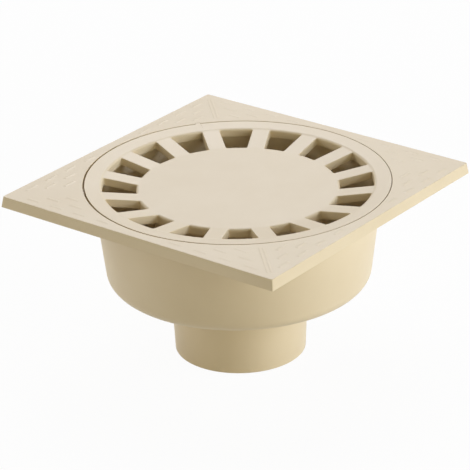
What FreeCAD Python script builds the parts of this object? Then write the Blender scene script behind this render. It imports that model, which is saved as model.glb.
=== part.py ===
"""Square yard gully with a bell trap, moulded in one colour of rigid plastic.

Three mouldings make the gully. The body is one piece: a flat square frame with a short
skirt, a round seat for the grate, a tapered bowl, a standpipe inside it and a round
spigot below. The grate is a shallow dish with spokes between its rim and its disc.
The bell is a cup turned upside down over the standpipe, and stands on it by its fins.

The origin is the middle of the spigot's lower end, with Z upwards. All lengths are in mm.
"""
import FreeCAD, Part
import Sketcher
import math
import os
import re

# Driving dimensions: alias, value, meaning

SIZES = [
    ("total_height", 110.4, "from the spigot's end to the frame's face"),
    ("frame_width", 200.0, "outer width of the frame at the skirt's lower edge"),
    ("skirt_depth", 7.1, "height of the frame's outer side"),
    ("skirt_lean", 0.86, "how far the skirt leans in from its lower edge to the face"),
    ("skirt_wall", 2.6, "wall of the skirt"),
    ("face_wall", 2.8, "thickness of the frame's face"),
    ("frame_corner", 1.4, "rounding of the frame's upright corners"),
    ("seat_radius", 92.5, "radius of the recess that holds the grate"),
    ("seat_depth", 5.4, "depth of the recess below the frame's face"),
    ("seat_wall", 2.6, "wall around the recess"),
    ("ledge_wall", 2.6, "thickness of the ledge that carries the grate"),
    ("ledge_fillet", 8.0, "hollow rounding between the ledge and the bowl"),
    ("ledge_width", 6.3, "from the recess's wall in to the bowl's outer side"),
    ("bowl_narrowing", 6.5, "how much narrower the bowl is at its underside, in radius"),
    ("bowl_depth", 63.4, "from the frame's face to the underside of the bowl"),
    ("bowl_wall", 2.4, "wall of the bowl"),
    ("bowl_floor", 3.0, "thickness of the bowl's floor"),
    ("bowl_rounding", 8.0, "outer rounding between wall and floor"),
    ("outlet_radius", 40.0, "outer radius of the spigot"),
    ("outlet_wall", 3.0, "wall of the spigot and the standpipe"),
    ("outlet_chamfer", 0.8, "chamfer at the spigot's end"),
    ("weir_depth", 22.0, "from the frame's face down to the top of the standpipe"),
    ("rib_wall", 2.0, "thickness of the ribs under the frame"),
    ("rib_offset", 58.0, "distance of the side ribs from the middle of a side"),
    ("rib_setback", 1.0, "how far the ribs end above the skirt's lower edge"),
    ("key_angle", 53.0, "where the grate's key sits, turned from the X axis"),
    ("key_width", 3.2, "width of the grate's key"),
    ("key_reach", 1.6, "how far the key stands out of the grate's rim"),
    ("key_clearance", 0.3, "gap between the key and its notch"),
    ("grate_clearance", 0.5, "gap between the grate's rim and the recess"),
    ("grate_turn", 4.3, "turn of the grate in its seat, measured at the middle of a spoke"),
    ("grate_depth", 5.3, "depth of rim, spokes and disc edge"),
    ("slot_length", 20.5, "length of the slots, from their outer ends to the disc"),
    ("slot_count", 16, "number of slots and of spokes"),
    ("spoke_width", 10.8, "width of a spoke"),
    ("disc_rounding", 0.8, "rounding of the disc's edge in the slots"),
    ("rim_fall", 1.0, "fall of the grate's face from its rim to the slots"),
    ("disc_fall", 4.75, "fall of the grate's face from its rim to the disc"),
    ("disc_wall", 3.0, "thickness of the disc"),
    ("crease_gap", 0.2, "how far the creases of the grate's section lie beside the slots, in the plastic"),
    ("face_blend", 30.0, "soft rounding of the face where the spokes run into the disc"),
    ("lip_width", 2.2, "width of the grate's outer lip"),
    ("lip_clearance", 0.4, "gap between the grate's inner lip and the mouth of the bowl"),
    ("lip_wall", 2.2, "wall of the inner lip, from the mouth in to the slots"),
    ("edge_width", 3.4, "width of the stiffening edge under the disc"),
    ("bell_clearance", 1.55, "gap between the lowest edge of the grate and the bell"),
    ("bell_wall", 2.2, "wall of the bell"),
    ("bell_crown", 2.4, "thickness of the bell's crown"),
    ("bell_lean", 1.6, "how much narrower the bell is at its crown"),
    ("bell_rounding", 4.0, "outer rounding of the bell's crown"),
    ("bell_cover", 28.0, "how far the bell reaches below the top of the standpipe"),
    ("water_gap", 9.0, "free width between the standpipe and the bell"),
    ("fin_count", 4, "number of fins inside the bell"),
    ("fin_wall", 2.0, "thickness of a fin"),
    ("fin_clearance", 0.6, "gap between the standpipe's side and a fin"),
    ("fin_guide", 12.0, "how far a fin reaches down beside the standpipe"),
    ("fin_inset", 1.5, "how far a fin reaches over the bore of the standpipe"),
]

FRAME_SIDES = 4    # the frame is square
NEAR = 0.05        # how close an edge must lie to the place it is looked for, in mm

doc = FreeCAD.newDocument("YardGully")

sheet = doc.addObject("Spreadsheet::Sheet", "Sizes")
for row, (alias, size, meaning) in enumerate(SIZES, start=1):
    sheet.set("A%d" % row, alias)
    sheet.set("B%d" % row, str(size))
    sheet.set("C%d" % row, meaning)
    sheet.setAlias("B%d" % row, alias)
doc.recompute()


# Helpers

def size(formula):
    """Number that a formula of sheet cells has now."""
    result = sheet.evalExpression(formula)
    return float(getattr(result, "Value", result))


def plane(body, role):
    """Origin plane of a body, by its role."""
    return next(item for item in body.Origin.OriginFeatures if item.Role == role)


def new_sketch(body, name, role, lift=None, turn=None):
    """Sketch on an origin plane, lifted and turned by formulas where they are given."""
    sketch = body.newObject("Sketcher::SketchObject", name)
    sketch.AttachmentSupport = [(plane(body, role), "")]
    sketch.MapMode = "FlatFace"
    if turn:
        sketch.AttachmentOffset = FreeCAD.Placement(FreeCAD.Vector(), FreeCAD.Vector(0, 0, 1), size(turn))
        sketch.setExpression("AttachmentOffset.Rotation.Angle", cells(turn))
    if lift:
        sketch.setExpression("AttachmentOffset.Base.z", cells(lift))
    return sketch


def cells(formula):
    """The same formula with each alias written as a cell of the sheet."""
    aliases = "|".join(alias for alias, value, meaning in SIZES)
    return re.sub(r"\b(%s)\b" % aliases, r"Sizes.\1", formula)


def bind(sketch, constraint, formula, name):
    """Constraint that keeps the value of a formula."""
    index = sketch.addConstraint(constraint)
    sketch.renameConstraint(index, name)
    sketch.setExpression("Constraints." + name, cells(formula))


def outline(sketch, corners):
    """Closed outline through corners, each given by the formulas of its two distances."""
    places = [FreeCAD.Vector(size(across), size(up), 0) for across, up in corners]
    first = sketch.GeometryCount
    count = len(places)
    for index in range(count):
        sketch.addGeometry(Part.LineSegment(places[index], places[(index + 1) % count]))
    for index in range(count):
        following = first + (index + 1) % count
        sketch.addConstraint(Sketcher.Constraint("Coincident", first + index, 2, following, 1))
    for index, (across, up) in enumerate(corners):
        line = first + index
        for kind, formula, axis in (("DistanceX", across, -2), ("DistanceY", up, -1)):
            if formula == "0":
                sketch.addConstraint(Sketcher.Constraint("PointOnObject", line, 1, axis))
                continue
            rule = Sketcher.Constraint(kind, -1, 1, line, 1, size(formula))
            bind(sketch, rule, formula, "%s_%d" % (kind, line))


def square(sketch, half_width):
    """Square about the sketch's origin."""
    low = "-(%s)" % half_width
    outline(sketch, [(low, low), (half_width, low), (half_width, half_width), (low, half_width)])


def circle(sketch, radius):
    """Circle about the sketch's origin."""
    edge = sketch.addGeometry(Part.Circle(FreeCAD.Vector(), FreeCAD.Vector(0, 0, 1), size(radius)))
    sketch.addConstraint(Sketcher.Constraint("Coincident", edge, 3, -1, 1))
    bind(sketch, Sketcher.Constraint("Radius", edge, size(radius)), radius, "radius")


def revolve(body, name, sketch):
    """Full turn of a section about the upright axis."""
    feature = body.newObject("PartDesign::Revolution", name)
    feature.Profile = sketch
    feature.ReferenceAxis = (sketch, ["V_Axis"])
    feature.Angle = 360
    doc.recompute()
    return feature


def pad(body, name, sketch, length, upward=True, midplane=False):
    """Pad of a sketch by a formula's length."""
    feature = body.newObject("PartDesign::Pad", name)
    feature.Profile = sketch
    feature.setExpression("Length", cells(length))
    feature.Reversed = not upward
    feature.Midplane = midplane
    doc.recompute()
    return feature


def pocket(body, name, sketch, length):
    """Pocket that cuts downwards from its sketch by a formula's length."""
    before = body.Shape.Volume
    feature = body.newObject("PartDesign::Pocket", name)
    feature.Profile = sketch
    feature.setExpression("Length", cells(length))
    doc.recompute()
    if feature.Shape.Volume >= before:
        raise RuntimeError(name + " cuts nothing")
    return feature


def polar(body, name, feature, count):
    """Copies of a feature about the upright axis."""
    pattern = body.newObject("PartDesign::PolarPattern", name)
    pattern.Originals = [feature]
    pattern.Axis = (next(item for item in body.Origin.OriginFeatures if item.Role == "Z_Axis"), "")
    pattern.Angle = 360
    pattern.setExpression("Occurrences", cells(count))
    body.Tip = pattern
    doc.recompute()
    return pattern


def ease(kind, body, name, base, amount, wanted):
    """Fillet or chamfer of every edge of the base that the test picks."""
    picked = ["Edge%d" % number for number, edge in enumerate(base.Shape.Edges, start=1) if wanted(edge)]
    if not picked:
        raise RuntimeError(name + " finds no edge")
    feature = body.newObject("PartDesign::" + kind, name)
    feature.Base = (base, picked)
    feature.setExpression({"Fillet": "Radius", "Chamfer": "Size"}[kind], cells(amount))
    doc.recompute()
    return feature


def is_ring(edge, radius, height):
    """Whether an edge is the circle of a radius at a height, about the upright axis."""
    curve = edge.Curve
    if not isinstance(curve, Part.Circle):
        return False
    centred = math.hypot(curve.Center.x, curve.Center.y) < NEAR
    return centred and abs(curve.Radius - size(radius)) < NEAR and abs(curve.Center.z - size(height)) < NEAR


# Formulas that several features share

SKIRT_FOOT = "total_height - skirt_depth"
RIB_FOOT = "total_height - skirt_depth + rib_setback"
SEAT_FLOOR = "total_height - seat_depth"
LEDGE_UNDER = "total_height - seat_depth - ledge_wall"
BOWL_UNDER = "total_height - bowl_depth"
FLOOR_TOP = "total_height - bowl_depth + bowl_floor"
WEIR = "total_height - weir_depth"
OUTLET_BORE = "outlet_radius - outlet_wall"
BOWL_TOP = "seat_radius - ledge_width"
BOWL_FOOT = "seat_radius - ledge_width - bowl_narrowing"
BOWL_TAPER = "bowl_narrowing / (bowl_depth - seat_depth - ledge_wall)"
INNER_FOOT = "%s - bowl_wall + %s * bowl_floor" % (BOWL_FOOT, BOWL_TAPER)
INNER_TOP = "%s - bowl_wall + %s * ledge_wall" % (BOWL_TOP, BOWL_TAPER)
GRATE_RADIUS = "seat_radius - grate_clearance"
SLOT_ENDS = {
    "outer": "%s - lip_clearance - lip_wall" % INNER_TOP,
    "inner": "%s - lip_clearance - lip_wall - slot_length" % INNER_TOP,
}
BELL_DROP = "disc_fall + grate_depth + bell_clearance"


# Gully body: frame, seat, bowl, standpipe and spigot in one moulding

def frame_edges(edge):
    """Whether an edge is one of the four upright corners of the frame."""
    return edge.BoundBox.ZLength > size("skirt_depth / 2")


def make_gully_body():
    """One-piece body of the gully."""
    body = doc.addObject("PartDesign::Body", "gully_body")

    # Square block of the frame, leaning in towards its face
    block = new_sketch(body, "frame_outline", "XY_Plane", SKIRT_FOOT)
    square(block, "frame_width / 2")
    plate = pad(body, "frame_block", block, "skirt_depth")
    faces = plate.Shape.Faces
    sides = [number for number, face in enumerate(faces, start=1) if abs(face.normalAt(0, 0).z) < 0.5]
    lowest = min(range(len(faces)), key=lambda index: faces[index].CenterOfMass.z) + 1
    lean = body.newObject("PartDesign::Draft", "frame_lean")
    lean.Base = (plate, ["Face%d" % number for number in sides])
    lean.NeutralPlane = (plate, ["Face%d" % lowest])
    lean.setExpression("Angle", cells("atan(skirt_lean / skirt_depth)"))
    doc.recompute()
    if lean.Shape.Volume >= plate.Shape.Volume:
        lean.Reversed = True
        doc.recompute()
    rounded = ease("Fillet", body, "frame_corners", lean, "frame_corner", frame_edges)

    # Hollow under the face, which leaves the skirt
    hollow = new_sketch(body, "hollow_outline", "XY_Plane", SKIRT_FOOT)
    square(hollow, "frame_width / 2 - skirt_wall")
    under = body.newObject("PartDesign::Pocket", "frame_hollow")
    under.Profile = hollow
    under.Reversed = True
    under.setExpression("Length", cells("skirt_depth - face_wall"))
    doc.recompute()
    if under.Shape.Volume >= rounded.Shape.Volume:
        raise RuntimeError("frame_hollow cuts nothing")

    # Ribs that stiffen the face between the seat and the skirt
    from_corner = "seat_radius + seat_wall / 2"
    to_corner = "sqrt(2) * (frame_width / 2 - skirt_wall) - frame_corner"
    from_side = "sqrt(seat_radius ^ 2 - rib_offset ^ 2) + seat_wall"
    to_side = "frame_width / 2 - skirt_wall / 2"
    for name, turn, middle, start, end in (
            ("corner_rib", "45", "0", from_corner, to_corner),
            ("side_rib", None, "rib_offset", from_side, to_side),
            ("other_side_rib", None, "-rib_offset", from_side, to_side)):
        outlined = new_sketch(body, name + "_outline", "XY_Plane", RIB_FOOT, turn)
        low = "%s - rib_wall / 2" % middle
        high = "%s + rib_wall / 2" % middle
        outline(outlined, [(start, low), (end, low), (end, high), (start, high)])
        rib = pad(body, name, outlined, "skirt_depth - rib_setback - face_wall / 2")
        polar(body, name + "s", rib, str(FRAME_SIDES))

    # Round opening for the seat, bowl and spigot
    opening = new_sketch(body, "seat_outline", "XY_Plane", "total_height")
    circle(opening, "seat_radius")
    pocket(body, "seat_opening", opening, "skirt_depth")

    # Seat, bowl, standpipe and spigot, as one section turned about the axis
    section = new_sketch(body, "bowl_section", "XZ_Plane")
    outline(section, [
        ("seat_radius", "total_height"),
        ("seat_radius + seat_wall", "total_height"),
        ("seat_radius + seat_wall", LEDGE_UNDER),
        (BOWL_TOP, LEDGE_UNDER),
        (BOWL_FOOT, BOWL_UNDER),
        ("outlet_radius", BOWL_UNDER),
        ("outlet_radius", "0"),
        (OUTLET_BORE, "0"),
        (OUTLET_BORE, WEIR),
        ("outlet_radius", WEIR),
        ("outlet_radius", FLOOR_TOP),
        (INNER_FOOT, FLOOR_TOP),
        (INNER_TOP, SEAT_FLOOR),
        ("seat_radius", SEAT_FLOOR),
    ])
    bowl = revolve(body, "bowl", section)

    # Eased edges of the turned part
    bowl = ease("Fillet", body, "bowl_foot", bowl, "bowl_rounding",
                lambda edge: is_ring(edge, BOWL_FOOT, BOWL_UNDER))
    bowl = ease("Fillet", body, "under_ledge", bowl, "ledge_fillet",
                lambda edge: is_ring(edge, BOWL_TOP, LEDGE_UNDER))
    bowl = ease("Chamfer", body, "bowl_inner_foot", bowl, "bowl_rounding - bowl_wall",
                lambda edge: is_ring(edge, INNER_FOOT, FLOOR_TOP))
    ease("Chamfer", body, "spigot_end", bowl, "outlet_chamfer",
         lambda edge: is_ring(edge, "outlet_radius", "0"))

    # Notch in the seat's wall for the grate's key
    notch = new_sketch(body, "notch_outline", "XY_Plane", "total_height", "key_angle")
    half = "key_width / 2 + key_clearance"
    reach = GRATE_RADIUS + " + key_reach + key_clearance"
    outline(notch, [(BOWL_TOP, "-(%s)" % half), (reach, "-(%s)" % half),
                    (reach, half), (BOWL_TOP, half)])
    pocket(body, "key_notch", notch, "seat_depth")
    return body


# Grate: a dished rim, spokes and disc

def slot_outline(sketch):
    """Slot between two spokes whose sides are parallel, with both ends round the axis."""
    half_step = math.radians(180 / size("slot_count"))
    half_spoke = size("spoke_width / 2")
    corners = {}
    for end, formula in SLOT_ENDS.items():
        radius = size(formula)
        along = math.sqrt(radius ** 2 - half_spoke ** 2)
        corners[end] = FreeCAD.Vector(along * math.cos(half_step) + half_spoke * math.sin(half_step),
                                      along * math.sin(half_step) - half_spoke * math.cos(half_step), 0)
    mirrored = {end: FreeCAD.Vector(spot.x, -spot.y, 0) for end, spot in corners.items()}
    upper = sketch.addGeometry(Part.LineSegment(corners["inner"], corners["outer"]))
    lower = sketch.addGeometry(Part.LineSegment(mirrored["inner"], mirrored["outer"]))
    arcs = {}
    for end, formula in SLOT_ENDS.items():
        radius = size(formula)
        spread = math.atan2(corners[end].y, corners[end].x)
        ring = Part.Circle(FreeCAD.Vector(), FreeCAD.Vector(0, 0, 1), radius)
        arcs[end] = sketch.addGeometry(Part.ArcOfCircle(ring, -spread, spread))
        sketch.addConstraint(Sketcher.Constraint("Coincident", arcs[end], 3, -1, 1))
        bind(sketch, Sketcher.Constraint("Radius", arcs[end], radius), formula, end)
    for end, place in (("inner", 1), ("outer", 2)):
        sketch.addConstraint(Sketcher.Constraint("Coincident", arcs[end], 1, lower, place))
        sketch.addConstraint(Sketcher.Constraint("Coincident", arcs[end], 2, upper, place))
    for line, name, turn in ((upper, "upper", 1), (lower, "lower", -1)):
        angle = Sketcher.Constraint("Angle", line, turn * half_step)
        bind(sketch, angle, "%d * 180 / slot_count * 1 deg" % turn, name + "_turn")
        offset = Sketcher.Constraint("Distance", -1, 1, line, half_spoke)
        bind(sketch, offset, "spoke_width / 2", name + "_offset")


def is_disc_edge(edge):
    """Whether an edge lies where the grate's face meets the inner end of a slot."""
    middle = edge.valueAt((edge.FirstParameter + edge.LastParameter) / 2)
    places = [corner.Point for corner in edge.Vertexes] + [middle]
    on_ring = all(abs(math.hypot(place.x, place.y) - size(SLOT_ENDS["inner"])) < NEAR for place in places)
    on_face = all(place.z > -size("disc_fall + disc_wall") for place in places)
    level = max(place.z for place in places) - min(place.z for place in places) < NEAR
    return on_ring and on_face and level


def make_grate():
    """Lift-out grate."""
    body = doc.addObject("PartDesign::Body", "grate")
    outer = GRATE_RADIUS
    outer_lip = outer + " - lip_width"
    inner_lip = INNER_TOP + " - lip_clearance"
    slot_outer, slot_inner = SLOT_ENDS["outer"], SLOT_ENDS["inner"]
    rim_crease, disc_crease = slot_outer + " + crease_gap", slot_inner + " - crease_gap"
    disc_edge = slot_inner + " - edge_width"

    # Dished section, thinner behind the rim and behind the disc
    section = new_sketch(body, "grate_section", "XZ_Plane")
    rim_slope = "rim_fall / (%s - (%s))" % (outer, rim_crease)
    outline(section, [
        ("0", "-disc_fall"),
        (slot_inner, "-disc_fall"),
        (rim_crease, "-rim_fall"),
        (outer, "0"),
        (outer, "-seat_depth"),
        (outer_lip, "-seat_depth"),
        (outer_lip, "-disc_wall - %s * lip_width" % rim_slope),
        (inner_lip, "-disc_wall - %s * (%s - (%s))" % (rim_slope, outer, inner_lip)),
        (inner_lip, "-rim_fall - grate_depth"),
        (rim_crease, "-rim_fall - grate_depth"),
        (disc_crease, "-disc_fall - grate_depth"),
        (disc_edge, "-disc_fall - grate_depth"),
        (disc_edge, "-disc_fall - disc_wall"),
        ("0", "-disc_fall - disc_wall"),
    ])
    dish = revolve(body, "dish", section)
    ease("Fillet", body, "disc_blend", dish, "face_blend",
         lambda edge: is_ring(edge, slot_inner, "-disc_fall"))

    # Slots
    slot_sketch = new_sketch(body, "slot_outline", "XY_Plane", None, "180 / slot_count")
    slot_outline(slot_sketch)
    slot = pocket(body, "slot", slot_sketch, "disc_fall + grate_depth + disc_wall")
    slots = polar(body, "slots", slot, "slot_count")
    ease("Fillet", body, "disc_edge", slots, "disc_rounding", is_disc_edge)

    # Key that stops the grate turning
    key_sketch = new_sketch(body, "key_outline", "XY_Plane", None, "key_angle - grate_turn")
    root, tip = outer + " - lip_width / 2", outer + " + key_reach"
    outline(key_sketch, [(root, "-key_width / 2"), (tip, "-key_width / 2"),
                         (tip, "key_width / 2"), (root, "key_width / 2")])
    pad(body, "key", key_sketch, "seat_depth", upward=False)

    body.Placement = FreeCAD.Placement(FreeCAD.Vector(0, 0, size("total_height")),
                                       FreeCAD.Vector(0, 0, 1), size("grate_turn"))
    body.setExpression("Placement.Base.z", cells("total_height"))
    body.setExpression("Placement.Rotation.Angle", cells("grate_turn"))
    doc.recompute()
    return body


# Bell: an inverted cup whose fins stand on the standpipe

def make_trap_bell():
    """Lift-out bell of the trap."""
    body = doc.addObject("PartDesign::Body", "trap_bell")
    foot = "outlet_radius + water_gap + bell_wall"
    crown = foot + " - bell_lean"
    rest = "weir_depth - (%s)" % BELL_DROP
    reach = "%s + bell_cover" % rest

    section = new_sketch(body, "bell_section", "XZ_Plane")
    outline(section, [
        ("0", "0"),
        (crown, "0"),
        (foot, "-(%s)" % reach),
        ("%s - bell_wall" % foot, "-(%s)" % reach),
        ("%s - bell_wall" % crown, "-bell_crown"),
        ("0", "-bell_crown"),
    ])
    cup = revolve(body, "cup", section)
    cup = ease("Fillet", body, "crown_rounding", cup, "bell_rounding", lambda edge: is_ring(edge, crown, "0"))

    # Fins: each rests on the standpipe and guides the bell beside it
    fin_sketch = new_sketch(body, "fin_outline", "XZ_Plane")
    over_bore = "outlet_radius - outlet_wall - fin_inset"
    beside = "outlet_radius + fin_clearance"
    into_wall = "%s - bell_wall / 2" % crown
    outline(fin_sketch, [
        (over_bore, "-bell_crown / 2"),
        (into_wall, "-bell_crown / 2"),
        (into_wall, "-(%s + fin_guide)" % rest),
        (beside, "-(%s + fin_guide)" % rest),
        (beside, "-(%s)" % rest),
        (over_bore, "-(%s)" % rest),
    ])
    fin = pad(body, "fin", fin_sketch, "fin_wall", midplane=True)
    polar(body, "fins", fin, "fin_count")

    body.Placement = FreeCAD.Placement(FreeCAD.Vector(0, 0, size("total_height - (%s)" % BELL_DROP)),
                                       FreeCAD.Rotation())
    body.setExpression("Placement.Base.z", cells("total_height - (%s)" % BELL_DROP))
    doc.recompute()
    return body


parts = [make_gully_body(), make_grate(), make_trap_bell()]
doc.recompute()

# Checks of the finished document, then one file for each piece

for item in doc.Objects:
    if "Invalid" in item.State or "Error" in item.State:
        raise RuntimeError("%s is %s" % (item.Name, item.State))
os.makedirs("parts", exist_ok=True)
for part in parts:
    shape = part.Shape
    if shape.isNull() or not shape.isValid() or len(shape.Solids) != 1:
        raise RuntimeError("%s has no single valid solid" % part.Label)
    shape.exportStep("parts/%s.step" % part.Label)
    print("%-12s volume %.0f mm3, box %s" % (part.Label, shape.Volume, shape.BoundBox))
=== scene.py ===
"""Looks of a square yard gully: body, slotted grate and trap bell, moulded in sand-coloured plastic.

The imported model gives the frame. Every piece is built here in millimetres about the axis of
the bowl and the spigot, with the face of the frame on top, and becomes a mesh in metres.
"""
import logging
import math
from collections.abc import Callable, Iterator, Sequence
from contextlib import contextmanager
from dataclasses import dataclass, field
from enum import Enum
from functools import partial

import bmesh
import bpy
import numpy as np
from mathutils import Matrix, Vector


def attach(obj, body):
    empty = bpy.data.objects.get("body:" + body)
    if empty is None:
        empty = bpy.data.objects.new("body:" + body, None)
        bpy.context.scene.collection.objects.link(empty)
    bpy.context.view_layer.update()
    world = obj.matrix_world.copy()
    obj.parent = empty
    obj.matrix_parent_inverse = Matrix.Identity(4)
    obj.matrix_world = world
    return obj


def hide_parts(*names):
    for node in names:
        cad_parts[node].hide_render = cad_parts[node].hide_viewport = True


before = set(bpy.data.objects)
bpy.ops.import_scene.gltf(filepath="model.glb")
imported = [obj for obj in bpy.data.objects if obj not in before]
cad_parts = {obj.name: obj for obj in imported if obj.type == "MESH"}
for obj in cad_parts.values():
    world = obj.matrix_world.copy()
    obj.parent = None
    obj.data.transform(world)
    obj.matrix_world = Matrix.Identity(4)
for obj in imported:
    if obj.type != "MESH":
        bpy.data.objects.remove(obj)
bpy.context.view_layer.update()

LOG = logging.getLogger("gully")

Place = tuple[float, float, float]

MM = 0.001                    # one millimetre in metres
ROOT = "root"                 # the one body of a part without joints
WELD = 1e-6                   # distance below which two points are one, m
SAME = 1e-6                   # difference below which two lengths or angles are one
RIGHT_ANGLE = math.pi / 2
QUARTER = 90                  # the same in degrees
SIDES = 4                     # sides of the square frame

SUPPORT = 0.35                # distance of the edge loops beside a rounding, mm
LONG_SIDE = 4 * SUPPORT       # length above which a straight stretch gets edge loops, mm
FEWEST_STEPS = 3              # steps of the smallest rounding
MOST_STEPS = 12               # steps of the largest rounding
ARC_PITCH = 1.6               # length of arc that adds a step, mm
SHARP_ANGLE = math.radians(38)
CRISP_ANGLE = math.radians(4)
FLAT_WEIGHT = 90              # how strongly large faces rule the shading, from 1 to 100
RIDGE_TOP = 0.4               # width of a tread ridge on top, mm
RIDGE_ROOT = 0.2              # how deep a tread ridge starts below the face, mm

MIX_FIRST, MIX_SECOND = 6, 7  # numbers of a Mix node's two colour inputs
MIX_RESULT = 2                # number of its colour output


# Plane geometry

def unit(vector: np.ndarray) -> np.ndarray:
    """The vector at length one."""
    return vector / np.linalg.norm(vector)


def ray(angle: float) -> np.ndarray:
    """Direction in the plane at an angle in radians from the X axis."""
    return np.array([math.cos(angle), math.sin(angle)])


def rotation(angle: float) -> np.ndarray:
    """Matrix that turns the plane by an angle in radians."""
    return np.array([[math.cos(angle), -math.sin(angle)], [math.sin(angle), math.cos(angle)]])


def angle_between(first: np.ndarray, second: np.ndarray) -> float:
    """Angle between two directions, in radians."""
    return math.acos(float(np.clip(first @ second, -1, 1)))


def bearing_ray(bearing: float, rise: float) -> Vector:
    """Direction of something that stands round the object.

    Args:
        bearing: Bearing round the object, degrees.
        rise: Height above the horizon, degrees.

    Returns:
        The direction from the object, at length one.
    """
    turn, tilt = math.radians(bearing), math.radians(rise)
    return Vector((math.sin(turn) * math.cos(tilt), -math.cos(turn) * math.cos(tilt), math.sin(tilt)))


def soft_bend(gap: float, before: float, after: float, radius: float) -> float:
    """Extra height of a rounding where two slopes meet.

    Args:
        gap: Distance past the place where they meet, mm.
        before: Slope before it.
        after: Slope after it.
        radius: Radius of the rounding, mm.

    Returns:
        Height to add to the two straight slopes.
    """
    reach = radius * abs(after - before) / 2
    if abs(gap) >= reach or reach == 0:
        return 0.0
    return (after - before) * (reach - abs(gap)) ** 2 / (4 * reach)


def gentle(share: float) -> float:
    """The share, from 0 to 1, on a curve that starts and ends level."""
    return share * share * (3 - 2 * share)


# Sections and skins

class Zone(Enum):
    """How a point of a section goes round the axis."""

    ROUND = "on a circle"
    KEYED = "on a circle that steps out at the key"
    SQUARE = "on a square with rounded corners"


@dataclass(frozen=True)
class Bend:
    """Corner of a section.

    Attributes:
        reach: Distance from the axis, or from the middle plane of a square, mm.
        height: Height above the piece's own zero, mm.
        rounding: Radius that eases the corner, mm.
        zone: How the corner goes round the axis.
    """

    reach: float
    height: float
    rounding: float = 0.0
    zone: Zone = Zone.ROUND

    def place(self) -> np.ndarray:
        """Place of the corner in the section's plane."""
        return np.array([self.reach, self.height])

    def moved(self, spot: np.ndarray) -> "Bend":
        """Plain point at another place of the section, in the same zone."""
        return Bend(float(spot[0]), float(spot[1]), 0.0, self.zone)


@dataclass(frozen=True)
class Column:
    """One upright plane through the axis, or across a side of the square frame.

    Attributes:
        angle: Turn about the axis, radians.
        straight: Factor of the half width less the corner's radius, for a square.
        corner: Factor of the corner's radius, for a square.
        step: How far the key steps out here, mm.
    """

    angle: float
    straight: tuple[float, float] = (0.0, 0.0)
    corner: tuple[float, float] = (0.0, 0.0)
    step: float = 0.0

    def at(self, bend: Bend, corner_radius: float = 0.0) -> Place:
        """Place of a section's point in this column.

        Args:
            bend: The point of the section.
            corner_radius: Radius of the square's corners there, mm.

        Returns:
            The place in millimetres.
        """
        if bend.zone is Zone.SQUARE:
            straight, corner = np.array(self.straight), np.array(self.corner)
            flat = straight * (bend.reach - corner_radius) + corner * corner_radius
            return float(flat[0]), float(flat[1]), bend.height
        reach = bend.reach + (self.step if bend.zone is Zone.KEYED else 0.0)
        return reach * math.cos(self.angle), reach * math.sin(self.angle), bend.height


def eased(bends: Sequence[Bend], closed: bool) -> list[Bend]:
    """Rounds the corners of a section and sets edge loops beside each rounding.

    Args:
        bends: Corners in order.
        closed: Whether the last corner joins the first.

    Returns:
        Points of the finished section, in the same order.
    """
    points: list[Bend] = []
    for index, bend in enumerate(bends):
        at_end = not closed and index in (0, len(bends) - 1)
        if at_end or not bend.rounding:
            points.append(bend)
            continue
        corner = bend.place()
        back = unit(bends[index - 1].place() - corner)
        ahead = unit(bends[(index + 1) % len(bends)].place() - corner)
        half = angle_between(back, ahead) / 2
        centre = corner + unit(back + ahead) * bend.rounding / math.sin(half)
        start = corner + back * bend.rounding / math.tan(half) - centre
        turn = math.pi - 2 * half
        side = math.copysign(1, start[0] * ahead[1] - start[1] * ahead[0])
        steps = min(FEWEST_STEPS + math.ceil(bend.rounding * turn / ARC_PITCH), MOST_STEPS)
        points.extend(bend.moved(centre + rotation(side * turn * step / steps) @ start)
                      for step in range(steps + 1))
    return with_loops(points, closed)


def with_loops(points: Sequence[Bend], closed: bool) -> list[Bend]:
    """Adds an edge loop close to both ends of each long straight stretch.

    Args:
        points: Points of a section.
        closed: Whether the last point joins the first.

    Returns:
        The same points with the loops between them.
    """
    result: list[Bend] = []
    for index, point in enumerate(points):
        result.append(point)
        if index == len(points) - 1 and not closed:
            break
        following = points[(index + 1) % len(points)]
        way = following.place() - point.place()
        length = float(np.linalg.norm(way))
        if length > LONG_SIDE:
            result.append(point.moved(point.place() + way * SUPPORT / length))
            result.append(following.moved(following.place() - way * SUPPORT / length))
    return result


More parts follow.
